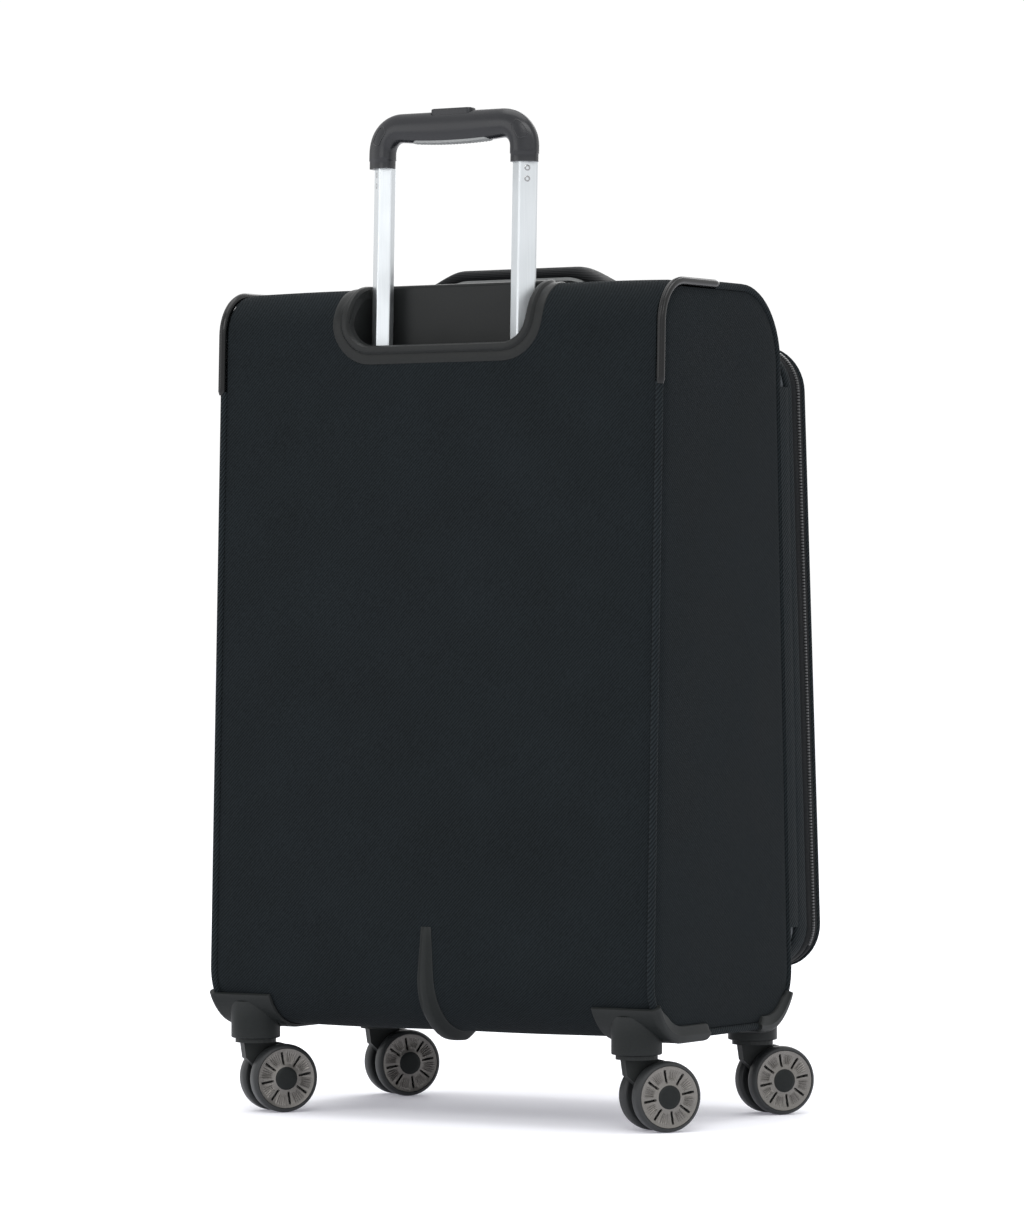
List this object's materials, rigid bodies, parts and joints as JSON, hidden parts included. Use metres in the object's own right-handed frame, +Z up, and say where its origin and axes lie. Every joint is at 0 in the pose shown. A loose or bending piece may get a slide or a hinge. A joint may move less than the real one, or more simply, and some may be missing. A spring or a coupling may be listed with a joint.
{
  "type": "softside upright suitcase",
  "caption": "Upright soft suitcase on spinner casters, with a telescoping trolley handle, zipped lid with front pocket, piped twill sides and carry handles.",
  "frame": {"origin": "middle of the bounding box, on the ground plane that the casters stand on", "axes": "+Z up, -Y towards the zipped front with its pocket, +Y towards the trolley handle side, +X to the right seen from the front"},
  "size_m": [0.4434, 0.2829, 0.8023],
  "materials": {
    "fabric": "charcoal-black polyester twill",
    "piping": "piping cord covered in the same twill",
    "webbing": "padded black webbing",
    "zip_tape": "black coil zip on woven tape",
    "gloss_trim": "moulded glossy black edge guard",
    "black_plastic": "satin charcoal moulded plastic",
    "grip_plastic": "satin black moulded grip",
    "grip_pad": "grey ribbed soft insert",
    "board": "grey polypropylene sheet",
    "wheel": "grey overmoulded tread with a silver face",
    "tube_aluminium": "satin anodised aluminium",
    "steel": "plated steel",
    "spring_steel": "spring steel wire",
    "slider_metal": "gunmetal plated zinc slider"
  },
  "bodies": {
    "case": {"back_panel": "fabric", "top_panel": "fabric", "bottom_panel": "fabric", "left_side_panel": "fabric", "right_side_panel": "fabric", "front_frame": "fabric", "wire_frame": "spring_steel", "left_piping": "piping", "right_piping": "piping", "left_corner_guard": "gloss_trim", "right_corner_guard": "gloss_trim", "back_board": "board", "bottom_board": "board", "trolley_bezel": "black_plastic", "left_outer_tube": "tube_aluminium", "right_outer_tube": "tube_aluminium", "tube_foot": "black_plastic", "top_handle": "webbing", "side_handle": "webbing", "kick_foot": "black_plastic", "main_zip_case_half": "zip_tape", "back_left_wheel_housing": "black_plastic", "back_right_wheel_housing": "black_plastic", "front_left_wheel_housing": "black_plastic", "front_right_wheel_housing": "black_plastic"},
    "mid_stage": {"left_mid_tube": "tube_aluminium", "right_mid_tube": "tube_aluminium"},
    "grip_stage": {"left_inner_tube": "tube_aluminium", "right_inner_tube": "tube_aluminium", "grip_handle": "grip_plastic", "grip_pad": "grip_pad"},
    "release_button": {"release_button": "grip_plastic"},
    "lid": {"main_zip_lid_half": "zip_tape", "lid_panel": "fabric", "pocket_gusset": "fabric"},
    "pocket_flap": {"pocket_flap": "fabric"},
    "upper_main_slider": {"upper_main_slider": "slider_metal"},
    "lower_main_slider": {"lower_main_slider": "slider_metal"},
    "left_pocket_slider": {"left_pocket_slider": "slider_metal"},
    "right_pocket_slider": {"right_pocket_slider": "slider_metal"},
    "back_left_caster": {"back_left_fork": "black_plastic", "back_left_swivel_pin": "steel", "back_left_axle": "steel"},
    "back_left_inner_wheel": {"back_left_inner_wheel": "wheel"},
    "back_left_outer_wheel": {"back_left_outer_wheel": "wheel"},
    "back_right_caster": {"back_right_fork": "black_plastic", "back_right_swivel_pin": "steel", "back_right_axle": "steel"},
    "back_right_inner_wheel": {"back_right_inner_wheel": "wheel"},
    "back_right_outer_wheel": {"back_right_outer_wheel": "wheel"},
    "front_left_caster": {"front_left_fork": "black_plastic", "front_left_swivel_pin": "steel", "front_left_axle": "steel"},
    "front_left_inner_wheel": {"front_left_inner_wheel": "wheel"},
    "front_left_outer_wheel": {"front_left_outer_wheel": "wheel"},
    "front_right_caster": {"front_right_fork": "black_plastic", "front_right_swivel_pin": "steel", "front_right_axle": "steel"},
    "front_right_inner_wheel": {"front_right_inner_wheel": "wheel"},
    "front_right_outer_wheel": {"front_right_outer_wheel": "wheel"}
  },
  "joints": [
    {"name": "mid_stage_slide", "type": "slide", "parent": "case", "child": "mid_stage", "axis": [0, -0.0303, 0.9995], "range_m": [0, 0.2]},
    {"name": "grip_stage_slide", "type": "slide", "parent": "mid_stage", "child": "grip_stage", "axis": [0, -0.0303, 0.9995], "range_m": [-0.145, 0.055]},
    {"name": "release_button_press", "type": "slide", "parent": "grip_stage", "child": "release_button", "axis": [0, 0.0303, -0.9995], "range_m": [0, 0.003], "stiffness_N_per_m": 400, "springref_m": -0.002},
    {"name": "lid_hinge", "type": "hinge", "parent": "case", "child": "lid", "pos_m": [-0.2073, -0.07976, 0.3665], "axis": [0, -0.0385, -0.9993], "range_deg": [0, 170]},
    {"name": "pocket_flap_hinge", "type": "hinge", "parent": "lid", "child": "pocket_flap", "pos_m": [-0.0028, -0.13755, 0.116], "axis": [1, 0, 0], "range_deg": [0, 95]},
    {"name": "upper_main_slider_travel", "type": "slide", "parent": "case", "child": "upper_main_slider", "axis": [0, 0.0385, 0.9993], "range_m": [0, 0.17]},
    {"name": "lower_main_slider_travel", "type": "slide", "parent": "case", "child": "lower_main_slider", "axis": [0, 0.0385, 0.9993], "range_m": [-0.17, 0]},
    {"name": "left_pocket_slider_travel", "type": "slide", "parent": "lid", "child": "left_pocket_slider", "axis": [1, 0, 0], "range_m": [-0.125, 0]},
    {"name": "right_pocket_slider_travel", "type": "slide", "parent": "lid", "child": "right_pocket_slider", "axis": [1, 0, 0], "range_m": [0, 0.125]},
    {"name": "back_left_swivel", "type": "hinge", "parent": "case", "child": "back_left_caster", "pos_m": [-0.1798, 0.1128, 0.06], "axis": [0, 0, 1], "continuous": true},
    {"name": "back_left_inner_wheel_spin", "type": "hinge", "parent": "back_left_caster", "child": "back_left_inner_wheel", "pos_m": [-0.19126, 0.09702, 0.0276], "axis": [0.809, -0.5878, 0], "continuous": true},
    {"name": "back_left_outer_wheel_spin", "type": "hinge", "parent": "back_left_caster", "child": "back_left_outer_wheel", "pos_m": [-0.19126, 0.09702, 0.0276], "axis": [0.809, -0.5878, 0], "continuous": true},
    {"name": "back_right_swivel", "type": "hinge", "parent": "case", "child": "back_right_caster", "pos_m": [0.1742, 0.1128, 0.06], "axis": [0, 0, 1], "continuous": true},
    {"name": "back_right_inner_wheel_spin", "type": "hinge", "parent": "back_right_caster", "child": "back_right_inner_wheel", "pos_m": [0.16274, 0.09702, 0.0276], "axis": [0.809, -0.5878, 0], "continuous": true},
    {"name": "back_right_outer_wheel_spin", "type": "hinge", "parent": "back_right_caster", "child": "back_right_outer_wheel", "pos_m": [0.16274, 0.09702, 0.0276], "axis": [0.809, -0.5878, 0], "continuous": true},
    {"name": "front_left_swivel", "type": "hinge", "parent": "case", "child": "front_left_caster", "pos_m": [-0.1798, -0.0742, 0.06], "axis": [0, 0, 1], "continuous": true},
    {"name": "front_left_inner_wheel_spin", "type": "hinge", "parent": "front_left_caster", "child": "front_left_inner_wheel", "pos_m": [-0.19126, -0.08998, 0.0276], "axis": [0.809, -0.5878, 0], "continuous": true},
    {"name": "front_left_outer_wheel_spin", "type": "hinge", "parent": "front_left_caster", "child": "front_left_outer_wheel", "pos_m": [-0.19126, -0.08998, 0.0276], "axis": [0.809, -0.5878, 0], "continuous": true},
    {"name": "front_right_swivel", "type": "hinge", "parent": "case", "child": "front_right_caster", "pos_m": [0.1742, -0.0742, 0.06], "axis": [0, 0, 1], "continuous": true},
    {"name": "front_right_inner_wheel_spin", "type": "hinge", "parent": "front_right_caster", "child": "front_right_inner_wheel", "pos_m": [0.16274, -0.08998, 0.0276], "axis": [0.809, -0.5878, 0], "continuous": true},
    {"name": "front_right_outer_wheel_spin", "type": "hinge", "parent": "front_right_caster", "child": "front_right_outer_wheel", "pos_m": [0.16274, -0.08998, 0.0276], "axis": [0.809, -0.5878, 0], "continuous": true}
  ]
}
